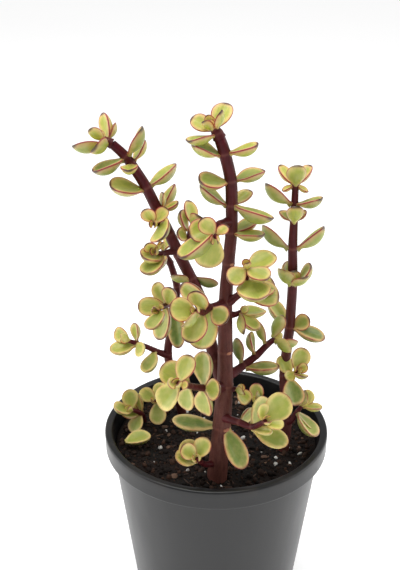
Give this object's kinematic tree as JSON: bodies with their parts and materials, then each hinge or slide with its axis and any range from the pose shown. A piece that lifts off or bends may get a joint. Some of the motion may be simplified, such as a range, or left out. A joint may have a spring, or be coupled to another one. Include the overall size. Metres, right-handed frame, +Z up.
{
  "type": "potted elephant bush",
  "caption": "Elephant bush: red-brown upright stems with small round fleshy variegated leaves, growing in moist soil in a round black nursery pot.",
  "frame": {"origin": "centre of the flat underside of the pot, on the surface that it stands on", "axes": "+Z up along the pot's axis; -Y towards the viewer of the plant's front; +X to the viewer's right"},
  "size_m": [0.1083, 0.1053, 0.2416],
  "materials": {
    "black_plastic": "semi-gloss moulded polypropylene",
    "potting_soil": "moist crumbly peat and bark potting mix with white perlite grains",
    "bark": "smooth glossy burgundy bark, duller and browner near the soil, with node rings",
    "leaf": "waxy fleshy leaf, green in the middle, cream edge and thin red margin"
  },
  "bodies": {
    "root": {"back_crown": "leaf", "back_left_shoot": "leaf", "back_sprout": "leaf", "back_stem": "bark", "back_upper_shoot": "leaf", "centre_left_shoot": "leaf", "centre_shoot": "leaf", "fallen_leaf": "leaf", "front_low_shoot": "leaf", "front_sprout": "leaf", "high_shoot": "leaf", "left_crown": "leaf", "left_front_shoot": "leaf", "left_inner_shoot": "leaf", "left_leaves_high": "leaf", "left_leaves_low": "leaf", "left_leaves_mid": "leaf", "left_leaves_top": "leaf", "left_leaves_upper": "leaf", "left_outer_shoot": "leaf", "left_sprout": "leaf", "left_stem": "bark", "low_sprout": "leaf", "main_crown": "leaf", "main_leaves_base": "leaf", "main_leaves_high": "leaf", "main_leaves_mid": "leaf", "main_leaves_top": "leaf", "main_leaves_upper": "leaf", "main_stem": "bark", "mid_right_shoot": "leaf", "outer_sprout": "leaf", "pot": "black_plastic", "right_base_shoot": "leaf", "right_branch": "leaf", "right_crown": "leaf", "right_leaves_high": "leaf", "right_leaves_low": "leaf", "right_leaves_mid": "leaf", "right_leaves_top": "leaf", "right_leaves_upper": "leaf", "right_low_shoot": "leaf", "right_stem": "bark", "small_right_shoot": "leaf", "soil": "potting_soil"}
  },
  "joints": []
}
